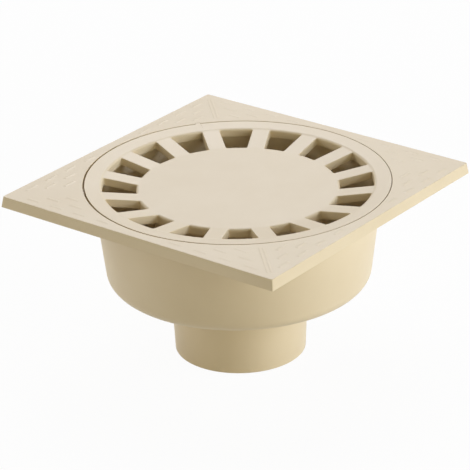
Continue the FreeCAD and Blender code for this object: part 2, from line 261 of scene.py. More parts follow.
@dataclass
class Skin:
    """Points and faces of a piece in millimetres, before they become a mesh."""

    points: list[Place] = field(default_factory=list)
    faces: list[tuple[int, ...]] = field(default_factory=list)

    def row(self, places: Sequence[Place]) -> list[int]:
        """Adds a row of points.

        Args:
            places: Places of the points, mm.

        Returns:
            Their numbers.
        """
        first = len(self.points)
        self.points.extend(places)
        return list(range(first, first + len(places)))

    def strip(self, lower: Sequence[int], upper: Sequence[int]) -> None:
        """Adds a band of quads that goes all the way round between two rows of as many points.

        Args:
            lower: Numbers of one row.
            upper: Numbers of the other row.
        """
        for index in range(len(lower)):
            following = (index + 1) % len(lower)
            self.faces.append((lower[index], lower[following], upper[following], upper[index]))

    def sweep(self, rows: Sequence[Sequence[int]]) -> None:
        """Adds bands between each row and the next."""
        for lower, upper in zip(rows, rows[1:]):
            self.strip(lower, upper)

    def cap(self, *rows: Sequence[int]) -> None:
        """Adds one face across each row."""
        self.faces.extend(tuple(row) for row in rows)

    def turned(self, section: Sequence[Bend], columns: Sequence[Column],
               corner_at: Callable[[float], float] | None = None) -> list[list[int]]:
        """Sets a section in every column and adds the bands between its points.

        Args:
            section: Points of the section.
            columns: Columns all the way round.
            corner_at: Gives the radius of a square's corners from its half width.

        Returns:
            The row of each point of the section.
        """
        rows = []
        for bend in section:
            radius = corner_at(bend.reach) if corner_at else 0.0
            rows.append(self.row([column.at(bend, radius) for column in columns]))
        self.sweep(rows)
        return rows

    def to_object(self, name: str) -> bpy.types.Object:
        """Makes a mesh object in metres whose faces point outwards.

        Args:
            name: Name of the object and its mesh.

        Returns:
            The new object, linked to the scene.
        """
        mesh = bpy.data.meshes.new(name)
        mesh.from_pydata([tuple(value * MM for value in point) for point in self.points], [], self.faces)
        with opened(mesh) as shell:
            bmesh.ops.remove_doubles(shell, verts=shell.verts, dist=WELD)
            bmesh.ops.recalc_face_normals(shell, faces=shell.faces)
        return linked(name, mesh)


def block(low: Place, high: Place, lean: float = 0.0) -> Skin:
    """Bar whose sides are upright or lean in.

    Args:
        low: Lowest corner, mm.
        high: Highest corner, mm.
        lean: How far the sides lean in on their way up, mm.

    Returns:
        The closed skin.
    """
    skin = Skin()
    rows = []
    for height, inset in ((low[2], 0.0), (high[2], lean)):
        left, right = low[0] + inset, high[0] - inset
        near, far = low[1] + inset, high[1] - inset
        plan = ((left, near), (right, near), (right, far), (left, far))
        rows.append(skin.row([(x, y, height) for x, y in plan]))
    skin.sweep(rows)
    skin.cap(rows[0][::-1], rows[-1])
    return skin


def ridge(middle: tuple[float, float], length: float, width: float, face: float, height: float) -> Skin:
    """Low ridge along Y that rises out of a level face with gentle slopes.

    Args:
        middle: Its middle, mm.
        length: Length where it leaves the face, mm.
        width: Width where it leaves the face, mm.
        face: Height of the face, mm.
        height: Height of the ridge above the face, mm.

    Returns:
        The closed skin, which starts a little below the face.
    """
    slope = (width - RIDGE_TOP) / 2 / height
    spread = RIDGE_ROOT * slope
    x, y = middle
    low = (x - width / 2 - spread, y - length / 2 - spread, face - RIDGE_ROOT)
    high = (x + width / 2 + spread, y + length / 2 + spread, face + height)
    return block(low, high, (RIDGE_ROOT + height) * slope)


def merged(skins: Sequence[Skin]) -> Skin:
    """Puts several skins together.

    Args:
        skins: The skins.

    Returns:
        One skin with the points and faces of all.
    """
    whole = Skin()
    for skin in skins:
        first = len(whole.points)
        whole.points.extend(skin.points)
        whole.faces.extend(tuple(first + number for number in face) for face in skin.faces)
    return whole


# Work on objects and meshes

def linked(name: str, data: bpy.types.ID) -> bpy.types.Object:
    """Makes an object and links it to the scene.

    Args:
        name: Name of the object.
        data: Its mesh, camera or lamp.

    Returns:
        The new object.
    """
    thing = bpy.data.objects.new(name, data)
    bpy.context.scene.collection.objects.link(thing)
    return thing


@contextmanager
def opened(mesh: bpy.types.Mesh) -> Iterator[bmesh.types.BMesh]:
    """Opens a mesh for changes and writes them back at the end.

    Args:
        mesh: The mesh.

    Yields:
        Its editable form.
    """
    shell = bmesh.new()
    shell.from_mesh(mesh)
    yield shell
    shell.to_mesh(mesh)
    shell.free()


def shade(mesh: bpy.types.Mesh, crisp: Callable[[Vector], bool] | None = None) -> None:
    """Smooth shading, with a hard edge wherever two faces meet at more than the sharp angle.

    Args:
        mesh: Mesh to shade.
        crisp: Tells, for the middle of an edge, whether even a slight bend there is hard.
    """
    with opened(mesh) as shell:
        for face in shell.faces:
            face.smooth = True
        for edge in shell.edges:
            middle = (edge.verts[0].co + edge.verts[1].co) / 2
            limit = CRISP_ANGLE if crisp and crisp(middle) else SHARP_ANGLE
            edge.smooth = len(edge.link_faces) == 2 and edge.calc_face_angle(0.0) < limit


def weighted(thing: bpy.types.Object) -> bpy.types.Object:
    """Lets large faces rule the shading, so that flats stay flat beside their roundings.

    Args:
        thing: Shaded object.

    Returns:
        The same object, whose mesh carries the normals.
    """
    modifier = thing.modifiers.new("normals", "WEIGHTED_NORMAL")
    modifier.mode = "FACE_AREA"
    modifier.weight = FLAT_WEIGHT
    modifier.keep_sharp = True
    return baked(thing)


def baked(thing: bpy.types.Object) -> bpy.types.Object:
    """Turns the result of an object's modifiers into its plain mesh.

    Args:
        thing: Object whose modifiers are all to be applied.

    Returns:
        The same object, without modifiers.
    """
    graph = bpy.context.evaluated_depsgraph_get()
    graph.update()
    mesh = bpy.data.meshes.new_from_object(thing.evaluated_get(graph))
    thing.modifiers.clear()
    thing.data = mesh
    mesh.name = thing.name
    return thing


def united(base: bpy.types.Object, addition: bpy.types.Object) -> bpy.types.Object:
    """Makes one closed skin of two that pass through each other.

    Args:
        base: Object that keeps its name.
        addition: Object that becomes part of it and is removed.

    Returns:
        The base with its new mesh.
    """
    union = base.modifiers.new("union", "BOOLEAN")
    union.operation = "UNION"
    union.solver = "MANIFOLD"
    union.object = addition
    baked(base)
    bpy.data.objects.remove(addition)
    return base


def loose_edges(mesh: bpy.types.Mesh) -> int:
    """Number of edges of a mesh at which not just two faces meet."""
    uses = np.bincount([loop.edge_index for loop in mesh.loops], minlength=len(mesh.edges))
    return int((uses != 2).sum())


def finished(thing: bpy.types.Object, node: str, material: bpy.types.Material,
             crisp: Callable[[Vector], bool] | None = None) -> bpy.types.Object:
    """Names, dresses and registers a piece that stands for a node of the model.

    Args:
        thing: The piece.
        node: Node that it stands for.
        material: Its finish.
        crisp: Tells where even slight bends are hard.

    Returns:
        The same piece.
    """
    thing.name = node + "_moulded"
    thing.data.name = thing.name
    thing.data.materials.clear()
    thing.data.materials.append(material)
    for face in thing.data.polygons:
        face.material_index = 0
    shade(thing.data, crisp)
    weighted(thing)
    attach(thing, ROOT)
    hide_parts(node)
    LOG.info("%s: %d faces, %d open or shared edges", thing.name, len(thing.data.polygons),
             loose_edges(thing.data))
    return thing


# Node trees

class Nodes:
    """Nodes and links of one tree."""

    def __init__(self, group: bpy.types.NodeTree) -> None:
        """Takes the tree that the nodes go into."""
        self.group = group

    def feed(self, node: bpy.types.Node, inputs: dict[str | int, object]) -> None:
        """Links or sets inputs of a node.

        Args:
            node: The node.
            inputs: For each input, by name or number, the socket that feeds it or its plain value.
        """
        for key, value in inputs.items():
            if isinstance(value, bpy.types.NodeSocket):
                self.group.links.new(value, node.inputs[key])
            else:
                node.inputs[key].default_value = value

    def node(self, kind: str, inputs: dict[str | int, object] | None = None,
             **settings: object) -> bpy.types.Node:
        """Adds a node.

        Args:
            kind: Type of the node.
            inputs: What its inputs are linked or set to.
            settings: Attributes of the node itself.

        Returns:
            The new node.
        """
        node = self.group.nodes.new(kind)
        for key, value in settings.items():
            setattr(node, key, value)
        self.feed(node, inputs or {})
        return node

    def math(self, operation: str, *values: object) -> bpy.types.NodeSocket:
        """Result of a math node on sockets or numbers."""
        return self.node("ShaderNodeMath", dict(enumerate(values)), operation=operation).outputs[0]


class Tree(Nodes):
    """Geometry node tree with named inputs."""

    def __init__(self, name: str) -> None:
        """Starts an empty tree with a geometry input and output.

        Args:
            name: Name of the tree.
        """
        super().__init__(bpy.data.node_groups.new(name, "GeometryNodeTree"))
        self.sockets: dict[str, str] = {}
        self.group.interface.new_socket("Geometry", in_out="OUTPUT", socket_type="NodeSocketGeometry")
        self.entry = self.group.nodes.new("NodeGroupInput")
        self.inputs("NodeSocketGeometry", "Geometry")

    def inputs(self, kind: str, *names: str) -> list[bpy.types.NodeSocket]:
        """Adds named inputs of one kind.

        Args:
            kind: Type of their sockets.
            names: Their names.

        Returns:
            The sockets that carry them.
        """
        for name in names:
            socket = self.group.interface.new_socket(name, in_out="INPUT", socket_type=kind)
            self.sockets[name] = socket.identifier
        return [self.entry.outputs[name] for name in names]

    def around(self, geometry: bpy.types.NodeSocket, count: object, turn: object) -> bpy.types.NodeSocket:
        """Copies of a geometry spread evenly about the upright axis.

        Args:
            geometry: What is copied.
            count: Number of copies.
            turn: Turn of the first copy, radians.

        Returns:
            The socket of the instances.
        """
        spots = self.node("GeometryNodePoints", {"Count": count, "Position": (0, 0, 0)})
        index = self.node("GeometryNodeInputIndex").outputs[0]
        share = self.math("DIVIDE", self.math("MULTIPLY", index, math.tau), count)
        angle = self.node("ShaderNodeCombineXYZ", {"Z": self.math("ADD", share, turn)})
        spin = self.node("FunctionNodeEulerToRotation", {0: angle.outputs[0]})
        copies = self.node("GeometryNodeInstanceOnPoints", {
            "Points": spots.outputs[0], "Instance": geometry, "Rotation": spin.outputs[0]})
        return copies.outputs[0]

    def close(self, instances: bpy.types.NodeSocket, material: bpy.types.NodeSocket) -> None:
        """Ends the tree with real geometry that carries the material.

        Args:
            instances: What the tree has made.
            material: Input that carries the material.
        """
        real = self.node("GeometryNodeRealizeInstances", {0: instances})
        welded = self.node("GeometryNodeMergeByDistance", {"Geometry": real.outputs[0], "Distance": WELD})
        dressed = self.node("GeometryNodeSetMaterial", {"Geometry": welded.outputs[0], "Material": material})
        self.node("NodeGroupOutput", {0: dressed.outputs[0]})

    def run(self, thing: bpy.types.Object, values: dict[str, object]) -> bpy.types.Object:
        """Runs the tree on an object and keeps the result as its plain mesh.

        Args:
            thing: Object that carries the tree's geometry input.
            values: Value of each named input.

        Returns:
            The same object with its new mesh.
        """
        modifier = thing.modifiers.new(self.group.name, "NODES")
        modifier.node_group = self.group
        for name, value in values.items():
            modifier[self.sockets[name]] = value
        return baked(thing)


def ring_tree() -> Tree:
    """Tree that sets copies of a piece round the axis and joins them to another piece.

    Returns:
        The tree, with the inputs Core, Count, Turn and Material.
    """
    tree = Tree("copies_round_the_axis")
    [core] = tree.inputs("NodeSocketObject", "Core")
    [count] = tree.inputs("NodeSocketInt", "Count")
    [turn] = tree.inputs("NodeSocketFloat", "Turn")
    [material] = tree.inputs("NodeSocketMaterial", "Material")
    copies = tree.around(tree.entry.outputs["Geometry"], count, turn)
    rest = tree.node("GeometryNodeObjectInfo", {"Object": core}, transform_space="ORIGINAL")
    joined = tree.node("GeometryNodeJoinGeometry", {0: copies})
    tree.feed(joined, {0: rest.outputs["Geometry"]})
    tree.close(joined.outputs[0], material)
    return tree


def tread_tree() -> Tree:
    """Tree that lays rows of short bars along the four sides of the frame's face.

    Returns:
        The tree, with inputs for the rows, the bars, the pitches and what they keep clear of.
    """
    tree = Tree("tread_rows")
    half, inset, row_pitch, bar_pitch, bar_half, clear, mitre = tree.inputs(
        "NodeSocketFloat", "Half width", "First inset", "Row pitch", "Bar pitch", "Bar half length",
        "Clear radius", "Mitre gap")
    rows, per_row = tree.inputs("NodeSocketInt", "Rows", "Bars in a row")
    [material] = tree.inputs("NodeSocketMaterial", "Material")
    add, less, times, over, highest = (
        partial(tree.math, name) for name in ("ADD", "SUBTRACT", "MULTIPLY", "DIVIDE", "MAXIMUM"))

    index = tree.node("GeometryNodeInputIndex").outputs[0]
    row = tree.math("FLOOR", over(add(index, 0.5), per_row))
    place_in_row = less(index, times(row, per_row))
    middle = over(less(per_row, 1.0), 2.0)
    every_other = times(tree.math("PINGPONG", row, 1.0), 0.5)
    along = times(add(less(place_in_row, middle), every_other), bar_pitch)
    out = less(less(half, inset), times(row, row_pitch))
    spot = tree.node("ShaderNodeCombineXYZ", {"X": out, "Y": along}).outputs[0]
    spots = tree.node("GeometryNodePoints", {"Count": times(rows, per_row), "Position": spot})

    position = tree.node("ShaderNodeSeparateXYZ", {0: tree.node("GeometryNodeInputPosition").outputs[0]})
    x, y = position.outputs["X"], position.outputs["Y"]
    away = tree.math("ABSOLUTE", y)
    near_end = highest(less(away, bar_half), 0.0)
    squares = add(tree.math("POWER", x, 2.0), tree.math("POWER", near_end, 2.0))
    in_seat = tree.math("LESS_THAN", tree.math("SQRT", squares), clear)
    past_mitre = tree.math("GREATER_THAN", add(away, add(bar_half, mitre)), x)
    kept = tree.node("GeometryNodeDeleteGeometry", {
        "Geometry": spots.outputs[0], "Selection": highest(in_seat, past_mitre)}, domain="POINT")
    bars = tree.node("GeometryNodeInstanceOnPoints", {
        "Points": kept.outputs[0], "Instance": tree.entry.outputs["Geometry"]})
    tree.close(tree.around(bars.outputs[0], SIDES, 0.0), material)
    return tree


# Finishes

@dataclass(frozen=True)
class Plastic:
    """Rigid plastic as it leaves a polished steel mould.

    Attributes:
        name: Name of the material.
        colour: Base colour, linear.
        deeper: The same colour where the melt has flowed darker, linear.
        cloud: Size of the soft colour clouds, mm.
        cloud_limits: Noise values between which one colour turns into the other.
        cloud_layers: Number and strength of the clouds' finer layers.
        grain: Size of the fine surface grain, mm.
        grain_depth: Depth of that grain, mm.
        grain_strength: Strength of that grain.
        grain_layers: Number and strength of its finer layers.
        wave_depth: Depth of the slow waves, as a multiple of the grain's.
        wave_strength: Strength of the waves.
        wave_share: How many waves go into a colour cloud.
        wave_layers: Number and strength of the waves' finer layers.
        flow: How strongly faint flow lines show in the gloss, from 0 to 1.
        flow_share: How many flow lines go into a colour cloud.
        flow_layers: Number and strength of the flow's finer layers.
        smoother: How much less rough full flow makes the surface.
        rougher: How much rougher full flow makes it.
        roughness: Mean roughness.
        specular: Specular level.
    """

    name: str
    colour: tuple[float, float, float]
    deeper: tuple[float, float, float]
    cloud: float = 38.0
    cloud_limits: tuple[float, float] = (0.32, 0.68)
    cloud_layers: tuple[float, float] = (4.0, 0.55)
    grain: float = 0.55
    grain_depth: float = 0.02
    grain_strength: float = 0.6
    grain_layers: tuple[float, float] = (3.0, 0.5)
    wave_depth: float = 4.0
    wave_strength: float = 0.5
    wave_share: float = 2.0
    wave_layers: tuple[float, float] = (1.0, 0.4)
    flow: float = 0.5
    flow_share: float = 3.0
    flow_layers: tuple[float, float] = (5.0, 0.6)
    smoother: float = 0.05
    rougher: float = 0.09
    roughness: float = 0.44
    specular: float = 0.42

    def make(self) -> bpy.types.Material:
        """Builds the node material.

        Returns:
            The new material.
        """
        material = bpy.data.materials.new(self.name)
        material.use_nodes = True
        tree = Nodes(material.node_tree)
        places = tree.node("ShaderNodeTexCoord").outputs["Object"]

        def noise(size: float, layers: tuple[float, float]) -> bpy.types.NodeSocket:
            """Noise on the piece's own places.

            Args:
                size: Size of its largest spots, mm.
                layers: Number and strength of its finer layers.

            Returns:
                The socket of its value.
            """
            return tree.node("ShaderNodeTexNoise", {
                "Vector": places, "Scale": 1 / (size * MM), "Detail": layers[0],
                "Roughness": layers[1]}).outputs["Fac"]

        spread = tree.node("ShaderNodeMapRange", {
            "Value": noise(self.cloud, self.cloud_layers),
            "From Min": self.cloud_limits[0], "From Max": self.cloud_limits[1]})
        tone = tree.node("ShaderNodeMix", {
            "Factor": spread.outputs["Result"], MIX_FIRST: (*self.colour, 1),
            MIX_SECOND: (*self.deeper, 1)}, data_type="RGBA")
        gloss = tree.node("ShaderNodeMapRange", {
            "Value": noise(self.cloud / self.flow_share, self.flow_layers),
            "To Min": self.roughness - self.smoother * self.flow,
            "To Max": self.roughness + self.rougher * self.flow})
        waves = tree.node("ShaderNodeBump", {
            "Height": noise(self.cloud / self.wave_share, self.wave_layers),
            "Distance": self.grain_depth * self.wave_depth * MM, "Strength": self.wave_strength})
        grain = tree.node("ShaderNodeBump", {
            "Height": noise(self.grain, self.grain_layers), "Normal": waves.outputs["Normal"],
            "Distance": self.grain_depth * MM, "Strength": self.grain_strength})
        tree.feed(material.node_tree.nodes["Principled BSDF"], {
            "Base Color": tone.outputs[MIX_RESULT], "Roughness": gloss.outputs["Result"],
            "Normal": grain.outputs["Normal"], "Specular IOR Level": self.specular})
        return material


SAND = Plastic("sand_plastic", (0.770, 0.645, 0.434), (0.750, 0.622, 0.410))
SAND_GRATE = Plastic("sand_plastic_grate", (0.773, 0.649, 0.440), (0.752, 0.625, 0.415), cloud=30.0)
SAND_BELL = Plastic("sand_plastic_bell", (0.752, 0.625, 0.415), (0.728, 0.600, 0.390), roughness=0.40)


# Sizes that the body and the grate share, in mm

FACE_HEIGHT = 110.4           # height of the frame's face above the spigot's lower end
SEAT_RADIUS = 92.5
SEAT_DEPTH = 5.4
GRATE_GAP = 0.45              # gap between the grate's rim and its seat, where it is centred
GRATE_SLIDE = (0.10, -0.38)   # how far the grate has slid in its seat, along X and Y


@dataclass(frozen=True)
class Key:
    """Small tab of the grate and the notch that takes it.

    Attributes:
        angle: Bearing of its middle from the X axis, radians.
        width: Width of the tab, mm.
        reach: How far the tab stands out of the rim, mm.
        clearance: Gap round the tab in its notch, mm.
        ease: Size of its slanted corners, mm.
        draft: How much further out its sides stand at their foot, mm.
        margin: Distance beside the notch that other columns keep, mm.
    """

    angle: float = math.radians(53.0)
    width: float = 3.2
    reach: float = 1.6
    clearance: float = 0.08
    ease: float = 0.25
    draft: float = 0.05
    margin: float = 0.2

    def slide(self, way: tuple[float, float]) -> tuple[float, float]:
        """How far a slide of the grate moves the key outwards and to the side.

        Args:
            way: The slide along X and Y, mm.

        Returns:
            The part away from the axis and the part round it, mm.
        """
        cosine, sine = math.cos(self.angle), math.sin(self.angle)
        return way[0] * cosine + way[1] * sine, way[1] * cosine - way[0] * sine

    def steps(self, width: float, reach: float) -> list[tuple[float, float]]:
        """Outline of a step that runs from the circle outwards and back.

        Args:
            width: Its width, mm.
            reach: How far it stands out, mm.

        Returns:
            Its points, as distances across and outwards, mm.
        """
        half = width / 2
        side = [(half + self.draft, 0.0), (half, reach - self.ease), (half - self.ease, reach)]
        return [(-across, out) for across, out in side] + [(0.0, reach)] + side[::-1]


# Pieces

@dataclass
class GullyBody:
    """One-piece body: frame with skirt and tread, seat, bowl, standpipe and spigot. Sizes in mm."""

    # Frame and skirt
    height: float = FACE_HEIGHT
    half_width: float = 100.0
    skirt_depth: float = 7.1
    skirt_lean: float = 0.86
    skirt_wall: float = 2.6
    face_wall: float = 2.8
    frame_corner: float = 1.3
    foot_corner: float = 0.5
    edge_ease: float = 0.35
    columns_a_side: int = 64
    corner_steps: int = 5
    # Seat and ledge
    seat_radius: float = SEAT_RADIUS
    seat_depth: float = SEAT_DEPTH
    seat_wall: float = 2.6
    seat_ease: float = 0.25
    ledge_wall: float = 2.6
    ledge_fillet: float = 8.0
    # Bowl, standpipe and spigot
    bowl_top: float = 86.2
    bowl_foot: float = 79.7
    bowl_depth: float = 63.4
    bowl_wall: float = 2.4
    bowl_floor: float = 3.0
    bowl_rounding: float = 8.0
    outlet_radius: float = 40.0
    outlet_wall: float = 3.0
    outlet_fillet: float = 1.0
    weir_depth: float = 22.0
    weir_fillet: float = 2.0
    # Ribs under the frame
    rib_wall: float = 2.0
    rib_offset: float = 58.0
    rib_setback: float = 1.0
    # Tread: rows of bars, and double lines at two corners
    tread_rows: int = 3
    tread_bars: int = 12
    tread_inset: float = 6.05
    tread_row_pitch: float = 7.24
    tread_bar_pitch: float = 17.75
    tread_clear: float = 1.6
    bar_length: float = 9.9
    bar_width: float = 2.8
    bar_height: float = 0.21
    mitre_gap: float = 2.6
    line_corners: int = 2
    line_offset: float = 1.1
    line_width: float = 1.6
    line_height: float = 0.13
    line_start: float = 98.0
    line_end: float = 131.0
    crisp_margin: float = 1.0
    crisp_depth: float = 0.05
    key: Key = field(default_factory=Key)

    def section(self) -> list[Bend]:
        """Closed section from the bore, over the bowl and the frame, to the spigot's end.

        Returns:
            The points of the eased section.
        """
        top = self.height
        seat = top - self.seat_depth
        ledge = seat - self.ledge_wall
        under = top - self.bowl_depth
        floor = under + self.bowl_floor
        foot = top - self.skirt_depth
        hollow = top - self.face_wall
        weir = top - self.weir_depth
        bore = self.outlet_radius - self.outlet_wall
        taper = (self.bowl_top - self.bowl_foot) / (ledge - under)
        mouth = self.bowl_top - self.bowl_wall + taper * self.ledge_wall
        inner_foot = self.bowl_foot - self.bowl_wall + taper * self.bowl_floor
        collar = self.seat_radius + self.seat_wall
        skirt = self.half_width - self.skirt_wall
        ease = self.edge_ease
        soft, softer = 2 * ease, 3 * ease
        return eased([
            Bend(bore, 0, ease),
            Bend(bore, weir, softer),
            Bend(self.outlet_radius, weir, softer),
            Bend(self.outlet_radius, floor, self.weir_fillet),
            Bend(inner_foot, floor, self.bowl_rounding - self.bowl_wall),
            Bend(mouth, seat, soft),
            Bend(self.seat_radius, seat, ease, Zone.KEYED),
            Bend(self.seat_radius, top, self.seat_ease, Zone.KEYED),
            Bend(self.half_width - self.skirt_lean, top, ease, Zone.SQUARE),
            Bend(self.half_width, foot, ease, Zone.SQUARE),
            Bend(skirt, foot, ease, Zone.SQUARE),
            Bend(skirt, hollow, soft, Zone.SQUARE),
            Bend(collar, hollow, soft),
            Bend(collar, ledge, soft),
            Bend(self.bowl_top, ledge, self.ledge_fillet),
            Bend(self.bowl_foot, under, self.bowl_rounding),
            Bend(self.outlet_radius, under, self.outlet_fillet),
            Bend(self.outlet_radius, 0, soft),
        ], closed=True)

    def columns(self) -> list[Column]:
        """Upright planes round the body, closer together at the corners and at the notch.

        Returns:
            The planes in the order of their angles.
        """
        outwards, aside = self.key.slide(GRATE_SLIDE)
        width = self.key.width + 2 * self.key.clearance
        reach = self.key.reach + self.key.clearance - GRATE_GAP + outwards
        middle = self.key.angle + aside / self.seat_radius
        straight = self.half_width - self.frame_corner
        level = ray(0.0)
        plain: list[tuple[np.ndarray, np.ndarray, float]] = []
        for number in range(self.columns_a_side + 1):
            along = math.tan(math.radians(-QUARTER / 2 + QUARTER * number / self.columns_a_side))
            plain.append((np.array([1.0, along]), level, 0.0))
        for number in range(1, self.corner_steps + 1):
            turn = math.radians(QUARTER * number / (self.corner_steps + 1))
            plain.append((np.array([1.0, 1.0]), ray(turn), 0.0))
        result = []
        for side in range(SIDES):
            row = list(plain)
            turned = middle - side * RIGHT_ANGLE
            if abs(turned) < RIGHT_ANGLE / 2:
                for across, out in self.key.steps(width, reach):
                    along = math.tan(turned + across / self.seat_radius) * self.half_width / straight
                    row.append((np.array([1.0, along]), level, out))
            spin = rotation(side * RIGHT_ANGLE)
            for flat, corner, step in row:
                outer = spin @ (flat * straight + corner * self.frame_corner)
                angle = math.atan2(outer[1], outer[0]) % math.tau
                result.append(Column(angle, tuple(spin @ flat), tuple(spin @ corner), step))
        foot = (width / 2 + self.key.draft) / self.seat_radius
        clear = (width / 2 + self.key.margin) / self.seat_radius
        away = [abs(column.angle - middle) for column in result]
        kept = [column for column, distance in zip(result, away)
                if column.step or distance > clear or abs(distance - foot) < SAME]
        return sorted(kept, key=lambda column: column.angle)

    def corner_at(self, reach: float) -> float:
        """Radius of the frame's corners.

        Args:
            reach: Half width of the frame at that height, mm.

        Returns:
            The radius, mm.
        """
        if reach < self.half_width - self.skirt_wall / 2:
            return self.foot_corner
        share = min((self.half_width - reach) / self.skirt_lean, 1.0)
        return self.foot_corner + share * (self.frame_corner - self.foot_corner)

    def shell(self) -> bpy.types.Object:
        """Turned and squared skin without ribs and tread.

        Returns:
            The closed moulding.
        """
        skin = Skin()
        rows = skin.turned(self.section(), self.columns(), self.corner_at)
        skin.strip(rows[-1], rows[0])
        return skin.to_object("gully_body_moulding")

    def ribs(self, ring: Tree, material: bpy.types.Material) -> bpy.types.Object:
        """Ribs under the frame: one across each corner and two at each side.

        Args:
            ring: Tree that repeats a piece round the axis.
            material: Finish of the frame.

        Returns:
            One object with all ribs.
        """
        low = self.height - self.skirt_depth + self.rib_setback
        high = self.height - self.face_wall / 2
        half = self.rib_wall / 2
        collar = self.seat_radius + self.seat_wall / 2
        skirt = self.half_width - self.skirt_wall / 2
        corner = block((collar, -half, low), (math.sqrt(2) * (self.half_width - self.skirt_wall), half, high))
        turn = math.sqrt(0.5)
        corner.points = [(turn * (x - y), turn * (x + y), z) for x, y, z in corner.points]
        start = math.sqrt(self.seat_radius ** 2 - self.rib_offset ** 2) + self.seat_wall
        sides = [block((start, middle - half, low), (skirt, middle + half, high))
                 for middle in (-self.rib_offset, self.rib_offset)]
        cell = merged([corner, *sides]).to_object("rib_cell")
        return ring.run(cell, {"Count": SIDES, "Turn": 0.0, "Material": material})

    def tread(self, rows: Tree, ring: Tree, material: bpy.types.Material) -> bpy.types.Object:
        """Raised bars and corner lines on the frame's face.

        Args:
            rows: Tree that lays the rows of bars.
            ring: Tree that repeats a piece round the axis.
            material: Finish of the frame.

        Returns:
            One object with all bars and lines.
        """
        bar = ridge((0.0, 0.0), self.bar_length, self.bar_width, self.height, self.bar_height)
        sizes = {
            "Half width": self.half_width - self.skirt_lean, "First inset": self.tread_inset,
            "Row pitch": self.tread_row_pitch, "Bar pitch": self.tread_bar_pitch,
            "Bar half length": self.bar_length / 2, "Clear radius": self.seat_radius + self.tread_clear,
            "Mitre gap": self.mitre_gap}
        bars = rows.run(bar.to_object("tread_bars"), {
            **{name: size * MM for name, size in sizes.items()},
            "Rows": self.tread_rows, "Bars in a row": self.tread_bars, "Material": material})
        length = self.line_end - self.line_start
        middle = (self.line_start + self.line_end) / 2
        lines = merged([ridge((aside, middle), length, self.line_width, self.height, self.line_height)
                        for aside in (-self.line_offset, self.line_offset)])
        return united(bars, ring.run(lines.to_object("corner_lines"), {
            "Count": self.line_corners, "Turn": -RIGHT_ANGLE / 2, "Material": material}))

    def on_tread(self, place: Vector) -> bool:
        """Whether a place lies on the flat part of the frame's face, where the tread stands.

        Args:
            place: The place, m.

        Returns:
            True there and on the tread.
        """
        border = self.half_width - self.skirt_lean - self.crisp_margin
        inside = max(abs(place.x), abs(place.y)) < border * MM
        clear = place.xy.length > (self.seat_radius + self.crisp_margin) * MM
        return inside and clear and place.z > (self.height - self.crisp_depth) * MM

    def build(self, ring: Tree, rows: Tree, finish: Plastic) -> bpy.types.Object:
        """Builds and dresses the body.

        Args:
            ring: Tree that repeats a piece round the axis.
            rows: Tree that lays the tread.
            finish: Plastic of the body.

        Returns:
            The finished piece.
        """
        material = finish.make()
        body = self.shell()
        united(body, self.ribs(ring, material))
        united(body, self.tread(rows, ring, material))
        return finished(body, "gully_body", material, self.on_tread)


@dataclass(frozen=True)
class SlotPoint:
    """Point of a slot's outline.

    Attributes:
        place: Place on the slot's wall, mm.
        normal: Direction into the plastic.
        target: Where the skin round the slot ends on this point's line, mm.
        ease: Rounding of the upper edge here, mm.
    """

    place: np.ndarray
    normal: np.ndarray
    target: np.ndarray
    ease: float

    def out(self, distance: float) -> np.ndarray:
        """Place at a distance from the wall, in the plastic."""
        return self.place + self.normal * distance

    def between(self, distance: float, share: float) -> np.ndarray:
        """Place between that distance from the wall and the target."""
        start = self.out(distance)
        return start + (self.target - start) * share

    def mirrored(self) -> "SlotPoint":
        """The point on the slot's other side."""
        flip = np.array([1.0, -1.0])
        return SlotPoint(self.place * flip, self.normal * flip, self.target * flip, self.ease)


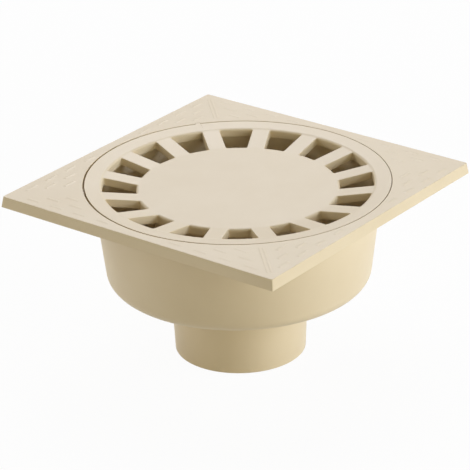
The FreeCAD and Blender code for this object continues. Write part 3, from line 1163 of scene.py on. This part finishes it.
@dataclass
class Grate:
    """Lift-out grate: dished rim, spokes with slots between them, and a disc.

    It has slid a little in its seat, as the seam in the photograph shows. Sizes in mm, with heights
    counted from the rim's upper edge.
    """

    # Place in the body
    face: float = FACE_HEIGHT
    turn: float = math.radians(15.55)
    settled: tuple[float, float] = GRATE_SLIDE
    # Rim, disc and lips
    radius: float = SEAT_RADIUS - GRATE_GAP
    seat_depth: float = SEAT_DEPTH
    rim_fall: float = 1.0
    rim_step: float = 0.4
    step_width: float = 1.6
    disc_fall: float = 4.75
    disc_wall: float = 3.0
    disc_blend: float = 30.0
    depth: float = 5.3
    lip_width: float = 2.2
    inner_lip: float = 83.7
    edge_width: float = 3.4
    ease: float = 0.3
    key: Key = field(default_factory=Key)
    # Slots and spokes
    slot_count: int = 16
    slot_outer: float = 81.5
    slot_inner: float = 61.0
    slot_corner: float = 0.9
    spoke_width: float = 10.8
    disc_rounding: float = 1.4
    rim_rounding: float = 0.7
    # Mesh: borders of the slot cells, steps, and how the rings are spread
    hub_reach: float = 58.2
    rim_reach: float = 83.2
    arc_steps: int = 8
    side_steps: int = 12
    corner_points: int = 10
    edge_steps: int = 3
    face_shares: tuple[float, ...] = (1.0, 0.72, 0.4, 0.16, 0.0)
    wall_shares: tuple[float, ...] = (0.07, 0.5, 0.93)
    hub_rings: tuple[float, ...] = (57.0, 50.0, 36.0, 20.0)
    disc_core: float = 3.0

    def face_height(self, reach: float) -> float:
        """Height of the grate's face.

        Args:
            reach: Distance from the axis, mm.

        Returns:
            The height above the rim's upper edge, mm, which is negative.
        """
        slope = (self.disc_fall - self.rim_fall - self.rim_step) / (self.slot_outer - self.slot_inner)
        if reach < self.slot_outer:
            gap = reach - self.slot_inner
            return -self.disc_fall + max(0.0, gap) * slope + soft_bend(gap, 0, slope, self.disc_blend)
        gap = reach - self.slot_outer
        fall = self.rim_fall * (1 - gap / (self.radius - self.slot_outer))
        return -fall - self.rim_step * (1 - gentle(min(gap / self.step_width, 1.0)))

    def under_height(self, reach: float) -> float:
        """Height of the underside of the spokes, the disc's edge and the inner lip."""
        share = min(max((reach - self.slot_inner) / (self.slot_outer - self.slot_inner), 0.0), 1.0)
        return -self.disc_fall - self.depth + share * (self.disc_fall - self.rim_fall)

    def spoke_axes(self) -> tuple[np.ndarray, np.ndarray]:
        """Directions along the spoke above the slot, and across it towards the slot."""
        axis = ray(math.pi / self.slot_count)
        return axis, np.array([axis[1], -axis[0]])

    def slot_end(self, end: int) -> tuple[list[SlotPoint], float]:
        """Upper half of one end of a slot.

        Args:
            end: 1 for the outer end and -1 for the inner one.

        Returns:
            The points from the slot's middle to the end of the corner, and how far along the spoke they end.
        """
        outer = end > 0
        limit = self.slot_outer if outer else self.slot_inner
        border = self.rim_reach if outer else self.hub_reach
        ease = self.rim_rounding if outer else self.disc_rounding
        axis, across = self.spoke_axes()
        offset = self.spoke_width / 2 + self.slot_corner
        along = math.sqrt((limit - end * self.slot_corner) ** 2 - offset ** 2)
        centre = axis * along + across * offset
        spread = math.atan2(centre[1], centre[0])
        rays = [ray(spread * number / self.arc_steps) for number in range(self.arc_steps)]
        points = [SlotPoint(line * limit, line * end, line * border, ease) for line in rays]
        start, finish = unit(centre) * end, -across
        whole = angle_between(start, finish)
        for number in range(self.corner_points + 1):
            share = number / self.corner_points
            swung = math.sin((1 - share) * whole) * start + math.sin(share * whole) * finish
            normal = swung / math.sin(whole)
            if share <= 0.5:
                target = border * ray(spread + (math.pi / self.slot_count - spread) * share * 2)
            else:
                target = axis * (border + (along - border) * (share * 2 - 1))
            blend = ease + (self.ease - ease) * share
            points.append(SlotPoint(centre + normal * self.slot_corner, normal, target, blend))
        return points, along

    def loop(self) -> list[SlotPoint]:
        """Outline of a slot that lies about the X axis.

        Returns:
            The points all the way round, from the middle of the outer end.
        """
        axis, across = self.spoke_axes()
        outer, start = self.slot_end(1)
        inner, stop = self.slot_end(-1)
        offset = self.spoke_width / 2
        sides = []
        for number in range(1, self.side_steps):
            along = start + (stop - start) * number / self.side_steps
            sides.append(SlotPoint(axis * along + across * offset, -across, axis * along, self.ease))
        upper = outer + sides + inner[::-1]
        return upper + [point.mirrored() for point in reversed(upper[1:-1])]

    def on_face(self, place: np.ndarray, drop: float = 0.0) -> Place:
        """Place on the grate's face, or a little below it."""
        height = self.face_height(float(np.hypot(*place)))
        return float(place[0]), float(place[1]), height - drop

    def on_under(self, place: np.ndarray, rise: float = 0.0) -> Place:
        """Place on the underside, or a little above it."""
        height = self.under_height(float(np.hypot(*place)))
        return float(place[0]), float(place[1]), height + rise

    def on_wall(self, point: SlotPoint, share: float) -> Place:
        """Place on a slot's wall.

        Args:
            point: Point of the slot's outline.
            share: Share of the way down.

        Returns:
            The place, mm.
        """
        reach = float(np.hypot(*point.place))
        high = self.face_height(reach) - point.ease
        low = self.under_height(reach) + self.ease
        return float(point.place[0]), float(point.place[1]), high + (low - high) * share

    def slot_cell(self) -> bpy.types.Object:
        """Skin of the grate round one slot, from the middle of one spoke to that of the next.

        Returns:
            The cell, which is open at its borders.
        """
        loop = self.loop()
        turns = [math.radians(QUARTER * number / self.edge_steps) for number in range(self.edge_steps + 1)]

        def rings(surface: Callable[..., Place], ease: Callable[[SlotPoint], float]) -> list[list[Place]]:
            """Rings from the cell's border over the rounded edge to the wall.

            Args:
                surface: Gives a place on the face or the underside, or some way into the plastic.
                ease: Gives the edge's rounding at a point.

            Returns:
                The places of each ring.
            """
            level = [[surface(point.between(SUPPORT + ease(point), share)) for point in loop]
                     for share in self.face_shares]
            edge = [[surface(point.out(ease(point) * (1 - math.sin(turn))),
                             ease(point) * (1 - math.cos(turn))) for point in loop] for turn in turns]
            return level + edge

        skin = Skin()
        wall = [[self.on_wall(point, share) for point in loop] for share in self.wall_shares]
        above = rings(self.on_face, lambda point: point.ease)
        below = rings(self.on_under, lambda point: self.ease)
        skin.sweep([skin.row(places) for places in above + wall + below[::-1]])
        return skin.to_object("slot_cell")

    def border_angles(self, reach: float) -> list[float]:
        """Angles at which the slot cells end on a circle.

        Args:
            reach: Radius of the circle, mm.

        Returns:
            The angles all the way round, radians.
        """
        own = [math.atan2(point.target[1], point.target[0]) for point in self.loop()
               if abs(float(np.hypot(*point.target)) - reach) < SAME]
        step = math.tau / self.slot_count
        every = sorted((angle + step * number) % math.tau
                       for number in range(self.slot_count) for angle in own)
        before = [every[-1] - math.tau, *every]
        return [angle for angle, last in zip(every, before) if angle - last > SAME]

    def hub(self, skin: Skin) -> None:
        """Adds the disc inside the slots, above and below, with the stiffening edge under it.

        Args:
            skin: Skin that takes it.
        """
        columns = [Column(angle) for angle in self.border_angles(self.hub_reach)]
        low = -self.disc_fall - self.depth
        ceiling = -self.disc_fall - self.disc_wall
        edge = self.slot_inner - self.edge_width
        upper = [Bend(self.hub_reach, self.face_height(self.hub_reach))]
        upper += [Bend(reach, self.face_height(0)) for reach in (*self.hub_rings, self.disc_core)]
        lower = eased([Bend(self.hub_reach, low), Bend(edge, low, self.ease),
                       Bend(edge, ceiling, 2 * self.ease), Bend(self.disc_core, ceiling)], closed=False)
        for section in (upper, lower):
            skin.cap(skin.turned(section, columns)[-1])

    def rim(self, skin: Skin) -> None:
        """Adds the rim outside the slots with both lips and the key.

        Args:
            skin: Skin that takes it.
        """
        border = self.border_angles(self.rim_reach)
        slope = self.rim_fall / (self.radius - self.slot_outer)
        lip = self.radius - self.lip_width
        low = -self.rim_fall - self.depth
        section = eased([
            Bend(self.rim_reach, self.face_height(self.rim_reach)),
            Bend(self.radius, 0, self.ease, Zone.KEYED),
            Bend(self.radius, -self.seat_depth, self.ease, Zone.KEYED),
            Bend(lip, -self.seat_depth, self.ease),
            Bend(lip, -self.disc_wall - slope * self.lip_width, 2 * self.ease),
            Bend(self.inner_lip, -self.disc_wall - slope * (self.radius - self.inner_lip), 2 * self.ease),
            Bend(self.inner_lip, low, self.ease),
            Bend(self.rim_reach, low),
        ], closed=False)
        centre = (self.key.angle - self.turn) % math.tau
        key_half = (self.key.width / 2 + 2 * self.key.draft) / self.radius
        columns = [Column(angle, step=self.key.reach if abs(angle - centre) < key_half else 0.0)
                   for angle in border]
        columns += [Column(centre + across / self.radius, step=out)
                    for across, out in self.key.steps(self.key.width, self.key.reach)]
        columns.sort(key=lambda column: column.angle)
        rows = skin.turned(section[1:-1], columns)
        shared = [number for number, column in enumerate(columns) if column.angle in set(border)]
        for bend, row in ((section[0], rows[0]), (section[-1], rows[-1])):
            own = skin.row([columns[number].at(bend) for number in shared])
            for index, number in enumerate(shared):
                following = shared[(index + 1) % len(shared)]
                stop = following if following > number else following + len(columns)
                between = [row[place % len(columns)] for place in range(number, stop + 1)]
                skin.faces.append((own[(index + 1) % len(own)], own[index], *between))

    def build(self, ring: Tree, finish: Plastic) -> bpy.types.Object:
        """Builds and dresses the grate.

        Args:
            ring: Tree that repeats the slot round the axis.
            finish: Plastic of the grate.

        Returns:
            The finished piece.
        """
        material = finish.make()
        skin = Skin()
        self.hub(skin)
        self.rim(skin)
        core = skin.to_object("grate_core")
        grate = ring.run(self.slot_cell(), {
            "Core": core, "Count": self.slot_count, "Turn": 0.0, "Material": material})
        bpy.data.objects.remove(core)
        place = Vector((*self.settled, self.face)) * MM
        grate.data.transform(Matrix.Translation(place) @ Matrix.Rotation(self.turn, 4, "Z"))
        with opened(grate.data) as shell:
            bmesh.ops.recalc_face_normals(shell, faces=shell.faces)
        return finished(grate, "grate", material)


@dataclass
class TrapBell:
    """Lift-out bell that stands over the standpipe on four fins. Sizes in mm."""

    # Cup
    crown_height: float = 98.8
    foot_height: float = 60.4
    foot_radius: float = 51.2
    lean: float = 1.6
    wall: float = 2.2
    crown: float = 2.4
    rounding: float = 4.0
    ease: float = 0.4
    columns: int = 192
    crown_core: float = 1.0
    # Fins
    fin_count: int = 4
    fin_wall: float = 2.0
    fin_rest: float = 88.4
    fin_foot: float = 76.4
    fin_reach: float = 35.5
    fin_guide: float = 40.6

    def shell(self) -> bpy.types.Object:
        """Turned cup of the bell.

        Returns:
            The closed cup.
        """
        crown = self.foot_radius - self.lean
        section = eased([
            Bend(self.crown_core, self.crown_height),
            Bend(crown, self.crown_height, self.rounding),
            Bend(self.foot_radius, self.foot_height, self.ease),
            Bend(self.foot_radius - self.wall, self.foot_height, self.ease),
            Bend(crown - self.wall, self.crown_height - self.crown, self.rounding - self.wall),
            Bend(self.crown_core, self.crown_height - self.crown),
        ], closed=False)
        columns = [Column(math.tau * number / self.columns) for number in range(self.columns)]
        skin = Skin()
        rows = skin.turned(section, columns)
        skin.cap(rows[0], rows[-1])
        return skin.to_object("bell_cup")

    def fin(self) -> bpy.types.Object:
        """One fin, which rests on the standpipe and reaches down beside it.

        Returns:
            The closed fin.
        """
        half = self.fin_wall / 2
        high = self.crown_height - self.crown / 2
        wall = self.foot_radius - self.lean - self.wall / 2
        outline = [(self.fin_reach, high), (wall, high), (wall, self.fin_foot),
                   (self.fin_guide, self.fin_foot), (self.fin_guide, self.fin_rest),
                   (self.fin_reach, self.fin_rest)]
        skin = Skin()
        near, far = (skin.row([(reach, aside, height) for reach, height in outline])
                     for aside in (-half, half))
        skin.strip(near, far)
        skin.cap(near[::-1], far)
        return skin.to_object("bell_fins")

    def build(self, ring: Tree, finish: Plastic) -> bpy.types.Object:
        """Builds and dresses the bell.

        Args:
            ring: Tree that repeats the fin round the axis.
            finish: Plastic of the bell.

        Returns:
            The finished piece.
        """
        material = finish.make()
        bell = self.shell()
        united(bell, ring.run(self.fin(), {"Count": self.fin_count, "Turn": 0.0, "Material": material}))
        return finished(bell, "trap_bell", material)


# Studio

@dataclass(frozen=True)
class Viewpoint:
    """Camera of the photograph, as fitted to the frame's edges and the round seam.

    Attributes:
        azimuth: Bearing of the camera round the object, degrees.
        elevation: Height above the horizon, degrees.
        roll: Turn about the line of sight, degrees.
        distance: From the aim to the camera, m.
        aim_right: How far the aim lies to the right of the frame's middle, m.
        aim_up: How far the aim lies above it in the picture, m.
        lens: Focal length, mm.
        sensor: Width of the sensor, mm.
        sight: How far the camera sees, m.
    """

    azimuth: float = -52.246
    elevation: float = 24.748
    roll: float = -1.236
    distance: float = 1.5546
    aim_right: float = -0.00209
    aim_up: float = -0.0332
    lens: float = 199.28
    sensor: float = 36.0
    sight: float = 30.0

    def make(self, middle: Vector) -> bpy.types.Object:
        """Places the camera.

        Args:
            middle: Middle of the frame's face, m.

        Returns:
            The camera, which becomes the scene's own.
        """
        azimuth, roll = math.radians(self.azimuth), math.radians(self.roll)
        back = bearing_ray(self.azimuth, self.elevation)
        right = Vector((math.cos(azimuth), math.sin(azimuth), 0))
        up = back.cross(right)
        aim = middle + right * self.aim_right + up * self.aim_up
        rolled_right = right * math.cos(roll) + up * math.sin(roll)
        rolled_up = up * math.cos(roll) - right * math.sin(roll)
        data = bpy.data.cameras.new("camera")
        data.lens = self.lens
        data.sensor_width = self.sensor
        data.clip_end = self.sight
        camera = linked("camera", data)
        axes = Matrix((rolled_right, rolled_up, back)).transposed().to_4x4()
        camera.matrix_world = Matrix.Translation(aim + back * self.distance) @ axes
        bpy.context.scene.camera = camera
        return camera


@dataclass(frozen=True)
class SoftBox:
    """Large soft lamp that looks at the object.

    Attributes:
        name: Name of the lamp.
        bearing: Bearing round the object, degrees, as the camera's.
        rise: Height above the horizon, degrees.
        distance: Distance from the object, m.
        size: Width and height, m.
        power: Power, W.
        colour: Colour of its light.
        mirrored: Whether glossy surfaces show the lamp.
    """

    name: str
    bearing: float
    rise: float
    distance: float
    size: tuple[float, float]
    power: float
    colour: tuple[float, float, float] = (1.0, 1.0, 1.0)
    mirrored: bool = False

    def make(self, aim: Vector) -> bpy.types.Object:
        """Places the lamp so that it faces the aim.

        Args:
            aim: Point that it looks at, m.

        Returns:
            The lamp.
        """
        back = bearing_ray(self.bearing, self.rise)
        data = bpy.data.lights.new(self.name, "AREA")
        data.shape = "RECTANGLE"
        data.size, data.size_y = self.size
        data.energy = self.power
        data.color = self.colour
        lamp = linked(self.name, data)
        lamp.rotation_mode = "QUATERNION"
        lamp.rotation_quaternion = (-back).to_track_quat("-Z", "Y")
        lamp.location = aim + back * self.distance
        lamp.visible_glossy = self.mirrored
        return lamp


def emptied(owner: bpy.types.Material | bpy.types.World) -> Nodes:
    """Clears the nodes of a material or a world.

    Args:
        owner: The material or world.

    Returns:
        Its empty tree.
    """
    owner.use_nodes = True
    owner.node_tree.nodes.clear()
    return Nodes(owner.node_tree)


def seen_rays(tree: Nodes) -> bpy.types.NodeSocket:
    """Tells the rays that show the background: from the camera, off gloss and through clear matter.

    Args:
        tree: Tree that needs them.

    Returns:
        The socket that is one for those rays.
    """
    rays = tree.node("ShaderNodeLightPath").outputs
    either = tree.math("MAXIMUM", rays["Is Camera Ray"], rays["Is Glossy Ray"])
    return tree.math("MAXIMUM", either, rays["Is Transmission Ray"])


@dataclass
class Studio:
    """Pale floor, pale surroundings and soft lamps."""

    floor_size: float = 14.0
    floor_colour: tuple[float, float, float] = (0.80, 0.785, 0.725)
    floor_share: float = 0.955
    ambient: float = 0.134
    ambient_colour: tuple[float, float, float] = (1.0, 0.86, 0.54)
    lamps: tuple[SoftBox, ...] = (
        SoftBox("right_softbox", 27.0, 14.0, 1.8, (0.9, 0.9), 21.5, (0.90, 0.97, 1.13)),
        SoftBox("front_softbox", -22.0, 11.0, 1.8, (1.1, 0.9), 6.6, (1.0, 0.96, 0.74)),
        SoftBox("left_softbox", -148.0, 14.0, 1.8, (0.9, 0.9), 10.0, (1.0, 0.99, 0.96)),
        SoftBox("high_softbox", 128.0, 66.0, 2.2, (1.2, 1.2), 13.5, (0.85, 0.92, 1.22), mirrored=True),
        SoftBox("back_softbox", 128.0, 42.0, 2.6, (1.2, 1.2), 23.0, (0.92, 0.96, 1.09), mirrored=True),
    )

    def floor(self) -> bpy.types.Object:
        """Floor under the spigot, which keeps the object's shadow.

        It is nearly white to the camera, warm to the light that it throws back, and clear from below.

        Returns:
            The floor.
        """
        skin = Skin()
        half = self.floor_size / MM / 2
        skin.cap(skin.row([(-half, -half, 0.0), (half, -half, 0.0), (half, half, 0.0), (-half, half, 0.0)]))
        floor = skin.to_object("floor")
        material = bpy.data.materials.new("floor_white")
        tree = emptied(material)
        matte = tree.node("ShaderNodeBsdfDiffuse", {"Color": (*self.floor_colour, 1)})
        glow = tree.node("ShaderNodeEmission")
        share = tree.math("MULTIPLY", seen_rays(tree), self.floor_share)
        lit = tree.node("ShaderNodeMixShader", {0: share, 1: matte.outputs[0], 2: glow.outputs[0]})
        side = tree.node("ShaderNodeNewGeometry")
        clear = tree.node("ShaderNodeBsdfTransparent")
        seen = tree.node("ShaderNodeMixShader", {
            0: side.outputs["Backfacing"], 1: lit.outputs[0], 2: clear.outputs[0]})
        tree.node("ShaderNodeOutputMaterial", {0: seen.outputs[0]})
        floor.data.materials.append(material)
        return floor

    def world(self) -> None:
        """Surroundings: white to the camera, a pale even light to the object."""
        world = bpy.data.worlds.new("studio")
        bpy.context.scene.world = world
        tree = emptied(world)
        light = tree.node("ShaderNodeBackground", {
            "Color": (*self.ambient_colour, 1), "Strength": self.ambient})
        white = tree.node("ShaderNodeBackground", {"Color": (1, 1, 1, 1)})
        mix = tree.node("ShaderNodeMixShader", {
            0: seen_rays(tree), 1: light.outputs[0], 2: white.outputs[0]})
        tree.node("ShaderNodeOutputWorld", {0: mix.outputs[0]})

    def build(self, aim: Vector) -> None:
        """Builds floor, surroundings and lamps.

        Args:
            aim: Point that the lamps look at, m.
        """
        bpy.context.scene.view_settings.view_transform = "Standard"
        self.floor()
        self.world()
        for lamp in self.lamps:
            lamp.make(aim)


def report(pieces: Sequence[bpy.types.Object]) -> None:
    """Writes a line with the size of each piece.

    Args:
        pieces: The finished pieces.
    """
    for piece in pieces:
        LOG.info("%s is %.1f x %.1f x %.1f mm", piece.name, *(size / MM for size in piece.dimensions))


def main() -> None:
    """Builds the camera, the studio and the three pieces of the gully."""
    logging.basicConfig(level=logging.INFO, format="%(message)s")
    body = GullyBody()
    face_middle = Vector((0, 0, body.height * MM))
    Viewpoint().make(face_middle)
    Studio().build(face_middle)
    ring, rows = ring_tree(), tread_tree()
    pieces = [
        body.build(ring, rows, SAND),
        Grate().build(ring, SAND_GRATE),
        TrapBell().build(ring, SAND_BELL),
    ]
    report(pieces)


if __name__ == "__main__":
    main()
